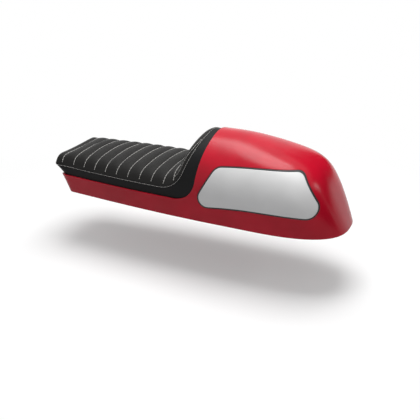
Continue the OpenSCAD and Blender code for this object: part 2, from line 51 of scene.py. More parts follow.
def addCamera():
    data = bpy.data.cameras.new("seatCamera")
    data.sensor_width = 36
    data.lens = view["focalPixels"] / view["frame"] * 36
    data.clip_end = 50
    camera = bpy.data.objects.new("seatCamera", data)
    bpy.context.scene.collection.objects.link(camera)
    a, e = math.radians(view["azimuth"]), math.radians(view["elevation"])
    away = Vector((math.sin(a) * math.cos(e), -math.cos(a) * math.cos(e), math.sin(e)))
    camera.location = Vector(view["aim"]) + view["distance"] * away
    camera.rotation_euler = (-away).to_track_quat("-Z", "Y").to_euler()
    bpy.context.scene.camera = camera


addCamera()
print("camera set")


# Material helpers

def linear(code, alpha=1.0):
    # one sRGB hex colour as linear values
    parts = [int(code[i:i + 2], 16) / 255 for i in (1, 3, 5)]
    return tuple(c / 12.92 if c <= 0.04045 else ((c + 0.055) / 1.055) ** 2.4 for c in parts) + (alpha,)


def newMaterial(name):
    material = bpy.data.materials.new(name)
    material.use_nodes = True
    tree = material.node_tree
    tree.nodes.clear()
    return material, tree


def add(tree, kind, settings=None, **inputs):
    # adds a node; an input is a value or another node's output socket, and i2 is the socket numbered 2
    node = tree.nodes.new(kind)
    for key, value in (settings or {}).items():
        setattr(node, key, value)
    for key, value in inputs.items():
        numbered = key[0] == "i" and key[1:].isdigit()
        socket = node.inputs[int(key[1:]) if numbered else key.replace("_", " ")]
        if isinstance(value, bpy.types.NodeSocket):
            tree.links.new(value, socket)
        else:
            socket.default_value = value
    return node


def ramp(tree, source, stops):
    node = add(tree, "ShaderNodeValToRGB", Fac=source)
    elements = node.color_ramp.elements
    while len(elements) < len(stops):
        elements.new(0.5)
    for element, (place, colour) in zip(elements, stops):
        element.position = place
        element.color = colour
    return node


def perMetre(mm):
    # scale of a pattern whose features are this many millimetres apart
    return 1000 / mm


def finishMaterial(tree, shader):
    add(tree, "ShaderNodeOutputMaterial", Surface=shader.outputs[0])


# Gelcoat over glass fibre: polyester pigmented red, from a polished mould. Deep, wet gloss with a faint
# waviness where the mould was rubbed down.
def redGelcoat():
    look = {"red": "#C4122B", "deepRed": "#B80F27", "cloudMm": 60, "waveMm": 45, "waveDepth": 0.00012,
            "edgeMm": 1.6}
    material, tree = newMaterial("redGelcoat")
    place = add(tree, "ShaderNodeTexCoord").outputs["Object"]
    cloud = add(tree, "ShaderNodeTexNoise", Vector=place, Scale=perMetre(look["cloudMm"]), Detail=2.0)
    colour = ramp(tree, cloud.outputs["Fac"], [(0.35, linear(look["deepRed"])), (0.65, linear(look["red"]))])
    edge = add(tree, "ShaderNodeBevel", {"samples": 6}, Radius=look["edgeMm"] / 1000)
    wave = add(tree, "ShaderNodeTexNoise", Vector=place, Scale=perMetre(look["waveMm"]), Detail=1.0)
    bump = add(tree, "ShaderNodeBump", Height=wave.outputs["Fac"], Distance=look["waveDepth"], Strength=0.35,
               Normal=edge.outputs[0])
    shader = add(tree, "ShaderNodeBsdfPrincipled", Base_Color=colour.outputs[0], Roughness=0.24, IOR=1.3,
                 Normal=bump.outputs[0])
    finishMaterial(tree, shader)
    return material


# Acrylic sheet, cut and heated over the hump: plain and satin, with a faint orange peel.
def paleAcrylic():
    look = {"sheet": "#EAEAEA", "shade": "#E2E2E2", "cloudMm": 70, "orangePeelMm": 3.0}
    material, tree = newMaterial("paleAcrylic")
    place = add(tree, "ShaderNodeTexCoord").outputs["Object"]
    cloud = add(tree, "ShaderNodeTexNoise", Vector=place, Scale=perMetre(look["cloudMm"]), Detail=2.0)
    colour = ramp(tree, cloud.outputs["Fac"], [(0.3, linear(look["shade"])), (0.7, linear(look["sheet"]))])
    peel = add(tree, "ShaderNodeTexNoise", Vector=place, Scale=perMetre(look["orangePeelMm"]), Detail=2.0)
    bump = add(tree, "ShaderNodeBump", Height=peel.outputs["Fac"], Distance=0.00003, Strength=0.3)
    shader = add(tree, "ShaderNodeBsdfPrincipled", Base_Color=colour.outputs[0], Roughness=0.42, IOR=1.49,
                 Normal=bump.outputs[0])
    finishMaterial(tree, shader)
    return material


# Extruded EPDM rubber: near black, soft sheen, a dusty bloom in its pores.
def blackRubber():
    look = {"rubber": "#141415", "bloom": "#222224", "poreMm": 1.2}
    material, tree = newMaterial("blackRubber")
    place = add(tree, "ShaderNodeTexCoord").outputs["Object"]
    poresAndGrainShade = add(tree, "ShaderNodeTexNoise", Vector=place, Scale=perMetre(look["poreMm"]), Detail=3.0)
    colour = ramp(tree, poresAndGrainShade.outputs["Fac"], [(0.4, linear(look["rubber"])), (0.75, linear(look["bloom"]))])
    bump = add(tree, "ShaderNodeBump", Height=poresAndGrainShade.outputs["Fac"], Distance=0.00006, Strength=0.5)
    shader = add(tree, "ShaderNodeBsdfPrincipled", Base_Color=colour.outputs[0], Roughness=0.55, IOR=1.52,
                 Normal=bump.outputs[0])
    finishMaterial(tree, shader)
    return material


# Upholstery vinyl: PVC on knit, pressed with a leather grain. The grain is drawn at twice its real
# 0.8 mm so that it shows.
def vinyl(name, look):
    material, tree = newMaterial(name)
    place = add(tree, "ShaderNodeTexCoord").outputs["Object"]
    grain = add(tree, "ShaderNodeTexVoronoi", {"feature": "DISTANCE_TO_EDGE"}, Vector=place,
                Scale=perMetre(look["grainMm"]), Randomness=0.9)
    flat = add(tree, "ShaderNodeMapRange", Value=grain.outputs["Distance"], i1=0.0, i2=0.25, i3=0.0, i4=1.0)
    cloud = add(tree, "ShaderNodeTexNoise", Vector=place, Scale=perMetre(look["cloudMm"]), Detail=3.0)
    colour = ramp(tree, cloud.outputs["Fac"], [(0.3, linear(look["dark"])), (0.7, linear(look["light"]))])
    # the valleys of the grain are darkened: painted shade in the grain's creases
    poresAndGrainShade = add(tree, "ShaderNodeMix", {"data_type": "RGBA", "blend_type": "MULTIPLY"}, i0=look["grainValleyShade"],
                i6=colour.outputs[0], i7=flat.outputs[0])
    rough = add(tree, "ShaderNodeMapRange", Value=cloud.outputs["Fac"], i1=0.3, i2=0.7,
                i3=look["rough"] - 0.04, i4=look["rough"] + 0.05)
    bump = add(tree, "ShaderNodeBump", Height=flat.outputs[0], Distance=look["grainDepth"],
               Strength=look["bump"])
    shader = add(tree, "ShaderNodeBsdfPrincipled", Base_Color=poresAndGrainShade.outputs[2], Roughness=rough.outputs[0],
                 IOR=1.22, Normal=bump.outputs[0])
    finishMaterial(tree, shader)
    return material


# Bonded polyester thread, a light warm grey, twisted from three strands. The twist, with painted shade in its
# grooves between lighter strands, is drawn about 11 mm long, far coarser than real, so that it shows.
def greyThread():
    look = {"thread": "#D2D0CC", "grooveShade": "#A19F9B", "twistScale": 1000 / 18}
    material, tree = newMaterial("greyThread")
    place = add(tree, "ShaderNodeTexCoord").outputs["Object"]
    twist = add(tree, "ShaderNodeTexWave", {"bands_direction": "DIAGONAL"}, Vector=place,
                Scale=look["twistScale"], Distortion=0.5)
    # the grooves of the twist are painted darker than the strands: painted shade
    colour = ramp(tree, twist.outputs["Fac"], [(0.2, linear(look["grooveShade"])), (0.6, linear(look["thread"]))])
    bump = add(tree, "ShaderNodeBump", Height=twist.outputs["Fac"], Distance=0.0001, Strength=0.4)
    shader = add(tree, "ShaderNodeBsdfPrincipled", Base_Color=colour.outputs[0], Roughness=0.6,
                 Normal=bump.outputs[0])
    finishMaterial(tree, shader)
    return material


# Zinc-plated mild steel: bright grey with a faint crystalline mottle.
def zincSteel():
    look = {"bright": "#B9BCC0", "dull": "#9A9DA2", "spangleMm": 4.0}
    material, tree = newMaterial("zincSteel")
    place = add(tree, "ShaderNodeTexCoord").outputs["Object"]
    spangle = add(tree, "ShaderNodeTexVoronoi", Vector=place, Scale=perMetre(look["spangleMm"]))
    stops = [(0.1, linear(look["dull"])), (0.7, linear(look["bright"]))]
    colour = ramp(tree, spangle.outputs["Distance"], stops)
    shader = add(tree, "ShaderNodeBsdfPrincipled", Base_Color=colour.outputs[0], Metallic=1.0, Roughness=0.36)
    finishMaterial(tree, shader)
    return material


# Moulded polyurethane foam: open cells, pale yellow, fully matt.
def seatFoam():
    look = {"cellShade": "#C9BC8C", "skin": "#DCD2A8", "cellMm": 2.5}
    material, tree = newMaterial("seatFoam")
    place = add(tree, "ShaderNodeTexCoord").outputs["Object"]
    cells = add(tree, "ShaderNodeTexVoronoi", Vector=place, Scale=perMetre(look["cellMm"]))
    # cell hollows darker than their rims: painted shade in the hollows
    colour = ramp(tree, cells.outputs["Distance"], [(0.1, linear(look["cellShade"])), (0.6, linear(look["skin"]))])
    bump = add(tree, "ShaderNodeBump", Height=cells.outputs["Distance"], Distance=0.0004, Strength=0.6)
    shader = add(tree, "ShaderNodeBsdfPrincipled", Base_Color=colour.outputs[0], Roughness=0.95,
                 Normal=bump.outputs[0])
    finishMaterial(tree, shader)
    return material


# Pressed board under the foam: painted black, with its fibres showing through.
def paintedBoard():
    look = {"paint": "#1B1A19", "fibre": "#2B2927", "fibreMm": 6.0}
    material, tree = newMaterial("paintedBoard")
    place = add(tree, "ShaderNodeTexCoord").outputs["Object"]
    fibres = add(tree, "ShaderNodeTexNoise", Vector=place, Scale=perMetre(look["fibreMm"]), Detail=6.0)
    colour = ramp(tree, fibres.outputs["Fac"], [(0.4, linear(look["paint"])), (0.7, linear(look["fibre"]))])
    bump = add(tree, "ShaderNodeBump", Height=fibres.outputs["Fac"], Distance=0.0002, Strength=0.4)
    shader = add(tree, "ShaderNodeBsdfPrincipled", Base_Color=colour.outputs[0], Roughness=0.7,
                 Normal=bump.outputs[0])
    finishMaterial(tree, shader)
    return material


gelcoat = redGelcoat()
acrylic = paleAcrylic()
rubber = blackRubber()
pleatVinyl = vinyl("pleatVinyl", {"dark": "#181716", "light": "#21201F", "cloudMm": 38, "grainMm": 1.7,
                                  "grainDepth": 0.00025, "bump": 0.6, "grainValleyShade": 0.35, "rough": 0.52})
# the side band is the panel's vinyl drawn darker: painted shade on the band's side faces
plainShadedVinyl = vinyl("plainShadedVinyl", {"dark": "#0C0C0D", "light": "#121213", "cloudMm": 38, "grainMm": 1.7,
                                  "grainDepth": 0.0002, "bump": 0.5, "grainValleyShade": 0.3, "rough": 0.48})
thread = greyThread()
steel = zincSteel()
foam = seatFoam()
boardPaint = paintedBoard()
print("materials made")


# The seat's surface, as in the CAD source but finer

shell = {"length": 717, "frontWidth": 180, "humpWidth": 226, "humpHeight": 184.5, "trayHeight": 44, "wall": 4,
         "lip": 3.5, "panHeight": 30, "frontSetback": 33, "frontRake": 22, "archPos": 338, "archRadius": 55,
         "archLean": 7, "tailLength": 200, "cornerRadius": 10, "wallTop": 68, "trayFlare": 0.13,
         "humpFlare": 0.09,
         "humpBarrel": 0.0005, "tailSlope": -0.41, "tailBarrel": 0.0008, "crownFall": 0.0015,
         "sideFull": (0.746, 0.283), "tailFull": (1, 1), "pocket": 12, "underReach": 5.0,
         "crownLead": 92, "widestLead": 102,
         "sweepLead": 33, "leanLead": 57, "blendLead": 104, "blendLength": 145,
         "squareness": ((0, 0.37, 0.76, 1), (2.7, 3.2, 3.35, 2))}
halfLength = shell["length"] / 2
polePos = shell["length"] - shell["tailLength"]
crownPeak = shell["archPos"] + shell["crownLead"]
widest = shell["archPos"] + shell["widestLead"]
sweepFrom = shell["archPos"] - shell["sweepLead"]
crownDrop = shell["crownFall"] * (polePos - crownPeak) ** 2
crownSlope = -2 * shell["crownFall"] * (polePos - crownPeak)
leanFrom = shell["archPos"] + shell["leanLead"]  # where the rows start to lean back


def smooth(t):
    t = min(1.0, max(0.0, t))
    return t * t * (3 - 2 * t)


def mixed(a, b, t):
    return a + (b - a) * t


def bezier(points, t):
    a, b, c, d = (np.array(p, float) for p in points)
    return (1 - t) ** 3 * a + 3 * t * (1 - t) ** 2 * b + 3 * t * t * (1 - t) * c + t ** 3 * d


def section(w, flare, barrel, full, crown, slope, bottom, wallSteps=8, rollSteps=40):
    # half a cross-section: a flared wall, then one curve over to the crown
    top = shell["wallTop"]
    foot = np.array((w + flare * top - barrel * top * top, top))
    lean = flare - 2 * barrel * top
    rise = (crown + slope * foot[0] - top) / (1 - slope * lean)
    corner = foot + rise * np.array((lean, 1))
    middle = np.array((0, crown))
    path = (foot, foot + full[0] * (corner - foot), middle + full[1] * (corner - middle), middle)
    levels = [mixed(bottom, top, i / wallSteps) for i in range(wallSteps)]
    wall = [(w + flare * z - barrel * z * z, z) for z in levels]
    return np.array(wall + [tuple(bezier(path, i / rollSteps)) for i in range(rollSteps + 1)])


def rimHalf(s):
    share = min(1, max(0, (s - shell["frontSetback"]) / (widest - shell["frontSetback"])))
    return mixed(shell["frontWidth"], shell["humpWidth"], math.sin(math.pi / 2 * share)) / 2


sectionCache = {}


def sideSection(s, inset=0.0, bottom=0.0):
    key = (round(s, 4), round(inset, 4), bottom)
    if key not in sectionCache:
        hump = smooth((s - sweepFrom + shell["blendLead"]) / shell["blendLength"])
        flare = mixed(shell["trayFlare"], shell["humpFlare"], hump)
        sectionCache[key] = section(rimHalf(s) - inset, flare, shell["humpBarrel"] * hump, shell["sideFull"],
                                    shell["humpHeight"] - inset, 0, bottom)
    return sectionCache[key]


def tailLine(inset):
    # side view of the tail's end and of the crown in front of it
    line = section(shell["tailLength"] - inset, shell["tailSlope"], shell["tailBarrel"], shell["tailFull"],
                   shell["humpHeight"] - inset - crownDrop, crownSlope, 0, 12, 60)
    turn = np.linspace(0, np.pi / 2, 41)[1:]
    d = (polePos - crownPeak) * np.cos(turn)
    over = np.stack([crownPeak + d, shell["humpHeight"] - inset - shell["crownFall"] * d * d], 1)
    return np.vstack([line + (polePos, 0), over])


def heightShare(z, inset):
    return np.clip(z / (shell["humpHeight"] - inset), 0, 1)


def poleAt(z, inset=0.0):
    return mixed(polePos, crownPeak, heightShare(z, inset) ** 3)


def squarenessAt(z, inset=0.0):
    return np.interp(heightShare(z, inset), *shell["squareness"])


outerTail = tailLine(0)


def halfAt(s, z, inset=0.0):
    # half-width of the body at a station and a height
    if s <= poleAt(z, inset):
        side = sideSection(s, inset)
        return float(np.interp(z, side[:, 1], side[:, 0]))
    side = sideSection(polePos)
    middle = poleAt(z)
    along = (s - middle) / (np.interp(z, outerTail[:, 1], outerTail[:, 0]) - middle)
    n = squarenessAt(z)
    return float(np.interp(z, side[:, 1], side[:, 0]) * max(0.001, 1 - along ** n) ** (1 / n))


def bodyRows(inset, bottom):
    # rows of points over the body: front corner, straight run, leaning run, then round the tail
    rows = []
    lean = math.tan(math.radians(shell["frontRake"]))
    for angle in np.linspace(0, np.pi / 2, 9):
        s = shell["frontSetback"] + inset + shell["cornerRadius"] * (1 - math.cos(angle))
        cut = shell["cornerRadius"] * (1 - math.sin(angle))
        side = sideSection(s, inset, bottom)
        half = np.maximum(side[:, 0] / 2, side[:, 0] - cut)
        rows.append(np.stack([s - side[:, 1] * lean * math.cos(angle), half, side[:, 1]], 1))
    for s in np.linspace(60, leanFrom, 25):
        side = sideSection(s, inset, bottom)
        rows.append(np.stack([np.full(len(side), s), side[:, 0], side[:, 1]], 1))
    levels = sideSection(polePos, inset, bottom)
    for share in np.linspace(0, 1, 11)[1:-1]:
        places = [(mixed(leanFrom, poleAt(z, inset), share), z) for z in levels[:, 1]]
        rows.append(np.array([(s, sideSection(s, inset, bottom)[i][0], z)
                              for i, (s, z) in enumerate(places)]))
    line = tailLine(inset)
    z = levels[:, 1]
    middle, n = poleAt(z, inset), squarenessAt(z, inset)
    reach = np.interp(z, line[:, 1], line[:, 0]) - middle
    for angle in np.radians(np.linspace(90, 0, 46)):
        c, q = max(0.0, math.cos(angle)), math.sin(angle)
        k = (c ** n + q ** n) ** (-1 / n)
        rows.append(np.stack([middle + reach * c * k, levels[:, 0] * q * k, z], 1))
    full = []
    for row in rows:
        other = row[::-1][1:].copy()
        other[:, 1] *= -1
        full.append(np.vstack([row, other]))
    return full


# Mesh helpers

def inFrame(points):
    # from millimetres along the seat to metres in the seat's frame
    points = np.array(points, float)
    points[:, 0] -= halfLength
    return points / 1000


def newPiece(name, points, faces, weld=1e-6):
    mesh = bpy.data.meshes.new(name)
    mesh.from_pydata(inFrame(points).tolist(), [], [tuple(f) for f in faces])
    work = bmesh.new()
    work.from_mesh(mesh)
    bmesh.ops.remove_doubles(work, verts=work.verts, dist=weld)
    bmesh.ops.dissolve_degenerate(work, edges=work.edges, dist=weld)
    bmesh.ops.recalc_face_normals(work, faces=work.faces)
    if work.calc_volume(signed=True) < 0:
        bmesh.ops.reverse_faces(work, faces=work.faces)
    work.to_mesh(mesh)
    work.free()
    piece = bpy.data.objects.new(name, mesh)
    bpy.context.scene.collection.objects.link(piece)
    return piece


def bake(piece):
    # turns the evaluated shape into the piece's own plain mesh
    bpy.context.view_layer.update()
    ready = piece.evaluated_get(bpy.context.evaluated_depsgraph_get())
    mesh = bpy.data.meshes.new_from_object(ready)
    piece.modifiers.clear()
    piece.data = mesh
    mesh.name = piece.name


def combine(piece, other, operation):
    modifier = piece.modifiers.new(operation, "BOOLEAN")
    modifier.operation = operation
    modifier.solver = "MANIFOLD"
    modifier.object = other
    bake(piece)
    bpy.data.objects.remove(other)


def dress(piece, material, slot, angle=40.0, *nodes):
    piece.data.materials.clear()
    piece.data.materials.append(material)
    for polygon in piece.data.polygons:
        polygon.use_smooth = True
        polygon.material_index = 0
    piece.data.set_sharp_from_angle(angle=math.radians(angle))
    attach(piece, body)
    if nodes:
        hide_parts(*nodes)
    return piece


def gridFaces(rows, columns, start=0):
    return [(start + r * columns + c, start + r * columns + c + 1, start + (r + 1) * columns + c + 1,
             start + (r + 1) * columns + c) for r in range(rows - 1) for c in range(columns - 1)]


def joined(a, b):
    # faces between two closed loops of point numbers
    n = len(a)
    return [(a[i], a[(i + 1) % n], b[(i + 1) % n], b[i]) for i in range(n)]


def loopFaces(a, b, n):
    return joined(range(a, a + n), range(b, b + n))


# Shell

def bodySolid(name, inset=0.0, bottom=0.0):
    rows = bodyRows(inset, bottom)
    n, last = len(rows[0]), len(rows) - 1
    faces = gridFaces(len(rows), n)
    faces += [(c, c + 1, n - 2 - c, n - 1 - c) for c in range(n // 2 - 1)]
    faces += [(n // 2 - 1, n // 2, n // 2 + 1)]
    faces += [(r * n, (r + 1) * n, (r + 1) * n + n - 1, r * n + n - 1) for r in range(last)]
    return newPiece(name, np.vstack(rows), faces, 2e-6)


far = 100  # overshoot of a cut past the body


def across(name, outline):
    # side view outline, extruded right across the body
    n, half = len(outline), (shell["humpWidth"] + far) / 2
    points = [(s, -half, z) for s, z in outline] + [(s, half, z) for s, z in outline]
    faces = [tuple(range(n)), tuple(range(2 * n - 1, n - 1, -1))] + loopFaces(0, n, n)
    return newPiece(name, points, faces)


sweepEnd = 90 - shell["archLean"]
archFoot = (shell["archPos"] + shell["archRadius"] * math.sin(math.radians(sweepEnd)),
            shell["trayHeight"] + shell["archRadius"] * (1 - math.cos(math.radians(sweepEnd))))


def archLine(z):
    return archFoot[0] + (z - archFoot[1]) * math.tan(math.radians(shell["archLean"]))


def archSweep(count):
    # points along the sweep from the tray up into the arch
    return [(shell["archPos"] + shell["archRadius"] * math.sin(a),
             shell["trayHeight"] + shell["archRadius"] * (1 - math.cos(a)))
            for a in np.radians(np.linspace(0, sweepEnd, count))]


def overTray():
    top = shell["humpHeight"] + far
    start, end = [(-far, shell["trayHeight"])], [(archLine(top), top), (-far, top)]
    return across("overTray", start + archSweep(33) + end)


def overPan(down, back):
    z, top = shell["panHeight"] - down, shell["humpHeight"] + far
    back += shell["pocket"]
    return across("overPan", [(-far, z), (archLine(z) + back, z), (archLine(top) + back, top), (-far, top)])


board = {"foot": (shell["archPos"] + 47, 33), "tilt": 2.25, "bottom": 297, "top": 183, "topSet": 57,
         "height": 88,
         "radius": 22, "bow": 10, "rearBow": 1.5, "thick": 1.6, "recess": 2, "edging": 3, "gap": 0.3,
         "rimRadius": 1.0, "faceDepth": 0.55, "faceRise": 0.5}


def boardCorners():
    t = math.radians(board["tilt"])
    flat = ((0, 0), (board["bottom"], 0), (board["topSet"] + board["top"], board["height"]),
            (board["topSet"], board["height"]))
    return [np.array((board["foot"][0] + x * math.cos(t) - z * math.sin(t),
                      board["foot"][1] + x * math.sin(t) + z * math.cos(t))) for x, z in flat]


def boardOutline(grow, steps=(16, 60, 24, 44, 24)):
    # steps go round a corner, then along the bottom, rear, top and front edge
    corners = boardCorners()
    arcs = []
    for i in range(4):
        p = corners[i]
        u = (corners[i - 1] - p) / np.linalg.norm(corners[i - 1] - p)
        v = (corners[(i + 1) % 4] - p) / np.linalg.norm(corners[(i + 1) % 4] - p)
        half = math.acos(float(u @ v)) / 2
        lead = (u + v) / np.linalg.norm(u + v)
        middle = p + lead * board["radius"] / math.sin(half)
        turn = math.pi - 2 * half
        first = math.atan2(-lead[1], -lead[0]) - turn / 2
        angles = [first + turn * k / steps[0] for k in range(steps[0] + 1)]
        reach = board["radius"] + grow
        arcs.append([middle + reach * np.array((math.cos(a), math.sin(a))) for a in angles])
    outline = []
    for i in range(4):
        outline += arcs[i]
        count = steps[i + 1]
        outline += [mixed(arcs[i][-1], arcs[(i + 1) % 4][0], k / count) for k in range(1, count)]
    outline = np.array(outline)
    middle = np.mean(corners, 0)
    share = (outline[:, 0] - middle[0]) / (board["bottom"] / 2)
    level = (outline[:, 1] - middle[1]) / (board["height"] / 2)
    outline[:, 1] += board["bow"] * (1 - share ** 2)
    outline[:, 0] += board["rearBow"] * np.clip(2 * share - 0.4, 0, 1) * (1 - level ** 2)
    return outline


def onWall(points, depth, side):
    # side -1 is the left of the seat, 1 the right
    return [(s, side * (halfAt(s, z) - depth), z) for s, z in points]


def wallSlab(name, side, front, back, grows, rounded=0.0):
    # slab that follows the wall, between two depths; rings shrink towards the middle
    middle = np.mean(boardCorners(), 0)
    inner = [middle + (boardOutline(0) - middle) * f for f in np.linspace(0.08, 0.98, 14)]
    outlines = inner + [boardOutline(g) for g in grows]
    n = len(inner[0])
    frontRings = [onWall(o, front, side) for o in outlines]
    backRings = [onWall(o, back, side) for o in outlines[::-1]]
    if rounded:  # rolls the front edge over
        rolls = [(rounded * math.sin(a) - rounded, rounded * (1 - math.cos(a)))
                 for a in np.radians((0, 25, 45, 65, 90))]
        frontRings = frontRings[:-1] + [onWall(boardOutline(g), front + drop, side) for g, drop in rolls]
    rings = frontRings + backRings
    points = [p for ring in rings for p in ring]
    faces = [f for r in range(len(rings) - 1) for f in loopFaces(r * n, (r + 1) * n, n)]
    faces += [tuple(range(n)), tuple(range((len(rings) - 1) * n, len(rings) * n))]
    return newPiece(name, points, faces)


recessOver = 5  # how far the cut for a recess starts outside the wall
studHoles = {"places": (75, 200, 325), "half": 35, "radius": 3.3, "sides": 32, "low": 20, "high": 40}


def studHole(s, y):
    n, r = studHoles["sides"], studHoles["radius"]
    ring = [(s + r * math.cos(a), y + r * math.sin(a)) for a in np.linspace(0, 2 * np.pi, n + 1)[:-1]]
    points = [(x, q, z) for z in (studHoles["low"], studHoles["high"]) for x, q in ring]
    faces = [tuple(range(n)), tuple(range(2 * n - 1, n - 1, -1))] + loopFaces(0, n, n)
    return newPiece("studHole", points, faces)


def makeShell():
    piece = bodySolid("tailShell")
    combine(piece, overTray(), "DIFFERENCE")
    pocket = bodySolid("pocket", shell["lip"])
    combine(pocket, overPan(0, 0), "INTERSECT")
    combine(piece, pocket, "DIFFERENCE")
    hollow = bodySolid("hollow", shell["wall"], -shell["underReach"])
    combine(hollow, overPan(shell["wall"], shell["wall"]), "DIFFERENCE")
    combine(piece, hollow, "DIFFERENCE")
    for side in (-1, 1):
        recess = wallSlab("recess", side, -recessOver, board["recess"], (0, board["edging"]))
        combine(piece, recess, "DIFFERENCE")
    for s in studHoles["places"]:
        for y in (-studHoles["half"], studHoles["half"]):
            combine(piece, studHole(s, y), "DIFFERENCE")
    return dress(piece, gelcoat, "red_gelcoat", 30, "tail_shell")


makeShell()
print("shell made")


# Number boards and their edging

def makeEdging(name, side):
    # a rubber strip with a rounded face, in the recess round the board
    g, w, back = board["gap"], board["edging"], board["recess"] - board["gap"] / 2
    middle, half = w / 2, w / 2 - board["gap"]
    depth, rise = board["faceDepth"], board["faceRise"]
    face = [(middle - half * math.cos(a), depth - rise * math.sin(a))
            for a in np.radians(np.linspace(20, 160, 7))]
    profile = [(g, back), (g, depth)] + face + [(w - g, depth), (w - g, back)]
    rings = [onWall(boardOutline(grow), depth, side) for grow, depth in profile]
    n = len(rings[0])
    points = [p for ring in rings for p in ring]
    faces = [f for r in range(len(rings)) for f in loopFaces(r * n, (r + 1) % len(rings) * n, n)]
    return newPiece(name, points, faces)


for word, side in (("left", -1), ("right", 1)):
    depth = board["recess"] - board["gap"] / 2
    plate = wallSlab("numberBoard" + word.title(), side, depth - board["thick"], depth, (0,),
                     board["rimRadius"])
    dress(plate, acrylic, "pale_board", 40, "number_board_" + word)
    edging = makeEdging("boardEdging" + word.title(), side)
    dress(edging, rubber, "black_edging", 40, "board_edging_" + word)
print("number boards made")


# Pad

pad = {"seam": 67, "top": 97.5, "pitch": 32, "count": 10, "first": 22, "puff": 4, "cover": 3, "nose": 9,
       "frontTop": 86, "frontReach": 75, "lead": 4, "leadReach": 60, "settle": 100, "sweepReach": 48,
       "seamRadius": 60, "seamLean": 19, "bolster": 124, "seamSet": 1, "fit": 0.5, "skirt": 8, "gap": 0.3,
       "boardThick": 5, "topRise": 15, "bolsterSet": 34, "bolsterRise": 170, "bolsterBack": 80,
       "topLift": 2.5, "noseSteps": (12, 15, 18.5),
       "seamLead": 5, "spreadLead": 14, "stepLead": 24, "stepLength": 60, "climbEnd": 0.993}
padIn = shell["lip"] + pad["fit"]
foamFloor = shell["panHeight"] + pad["boardThick"] + pad["gap"]
seamStart = sweepFrom - pad["seamLead"]
seamTurn = 90 - pad["seamLean"]
sweepTravel = seamStart + pad["seamRadius"] * math.radians(seamTurn)
endTravel = sweepTravel + pad["bolster"]
topZ = shell["humpHeight"] - padIn - pad["gap"] - pad["topRise"]
lastChannel = pad["first"] + pad["pitch"] * pad["count"]
bolsterLine = ((sweepFrom, pad["top"]), (sweepFrom + pad["sweepReach"], pad["top"]),
               (sweepFrom + pad["bolsterSet"], pad["bolsterRise"]),
               (sweepFrom + pad["bolsterBack"], topZ + pad["topRise"] + pad["topLift"]))
sweepZ = pad["seam"] + pad["seamRadius"] * (1 - math.cos(math.radians(seamTurn)))


def bolsterShare(t):
    return min(1, max(0, (t - sweepTravel) / pad["bolster"]))


def ease(t):
    return (bolsterShare(t) + math.sin(math.pi / 2 * bolsterShare(t))) / 2


def climb(t):
    first = (sweepTravel - sweepFrom) / (3 * pad["sweepReach"])
    if t < sweepTravel:
        return (t - sweepFrom) / (3 * pad["sweepReach"])
    return mixed(first, pad["climbEnd"], ease(t))


def noseTurn(t):
    return math.pi / 2 * min(1, t / pad["nose"])


def frontShare(t):
    # the front edge is nearly straight across, and the crown grows behind it
    return smooth((pad["frontReach"] - t) / (pad["frontReach"] - pad["nose"]))


def middleOf(t):
    if t >= sweepFrom:
        return bezier(bolsterLine, climb(t))
    if t >= pad["nose"]:
        return np.array((t, mixed(pad["top"], pad["frontTop"], frontShare(t))))
    a = noseTurn(t)
    return np.array((pad["nose"] * (1 - math.cos(a)), mixed(pad["seam"] + 1, pad["frontTop"], math.sin(a))))


def normalOf(t):
    v = middleOf(t + 0.2) - middleOf(max(0, t - 0.2))
    v /= np.linalg.norm(v)
    return np.array((-v[1], v[0]))


def seamLine(t, depth):
    a = min(math.radians(seamTurn), (t - seamStart) / pad["seamRadius"])
    if t < pad["nose"]:
        return np.array((pad["nose"] * (1 - math.cos(noseTurn(t))), pad["seam"]))
    if t < seamStart:
        return np.array((t, pad["seam"]))
    s = seamStart + pad["seamRadius"] * math.sin(a)
    z = pad["seam"] + pad["seamRadius"] * (1 - math.cos(a))
    if t < sweepTravel:
        return np.array((s, z))
    top = mixed(z, topZ - depth, ease(t))
    return np.array((s + (top - z) * math.tan(math.radians(pad["seamLean"])), top))


def seamHalf(t, depth):
    p = seamLine(t, depth)
    share = smooth((p[0] - sweepFrom + pad["stepLead"]) / pad["stepLength"])
    half = halfAt(p[0], mixed(shell["trayHeight"], p[1], share), padIn + depth)
    return half - pad["seamSet"] - pad["nose"] * (1 - math.sin(noseTurn(t)))


rollTable = sideSection(widest, padIn)
rollTable = rollTable[rollTable[:, 1] >= shell["wallTop"]][::-1]


def rollDrop(y):
    return shell["humpHeight"] - padIn - np.interp(np.abs(y), rollTable[:, 0], rollTable[:, 1])


def fallOf(e):
    # drop of the cover from the middle of a row to its seam, as a share
    return 0.43 * e * e + 0.57 * e ** 10


def rowDrop(e, t, w):
    flat = e ** 12 - 0.2 * e * e * (1 - e ** 8)
    crowned = mixed(fallOf(e), flat, frontShare(t))
    return mixed(crowned, rollDrop(e * w) / rollDrop(w), smooth(bolsterShare(t)))


def puffOf(t):
    # a channel swells fast out of its stitch line and is flatter on top
    if t > lastChannel:
        return 0.0
    if t < pad["first"]:
        return pad["puff"] / 2 * math.sin(math.pi * t / pad["first"])
    return pad["puff"] * abs(math.sin(math.pi * (t - pad["first"]) / pad["pitch"])) ** 0.75


columns = np.concatenate([np.linspace(1, 0.9, 9), np.linspace(0.9, -0.9, 43)[1:-1], np.linspace(-0.9, -1, 9)])


def coverRow(t, depth, raised=0.0, e=columns):
    # one row across the cover, e running from 1 at the right seam to -1 at the left
    m, n, p, w = middleOf(t), normalOf(t), seamLine(t, depth), seamHalf(t, depth)
    f = rowDrop(e, t, w)
    h = raised * puffOf(t) * (1 - e ** 8) - depth
    x = mixed(m[0], p[0], f) + n[0] * h * (1 + np.where(h < 0, 0.8, -1) * e ** 8)
    x -= pad["lead"] * smooth(1 - t / pad["leadReach"])
    return np.stack([x, w * e, mixed(m[1], p[1], f) + n[1] * h * (1 - e ** 10)], 1)


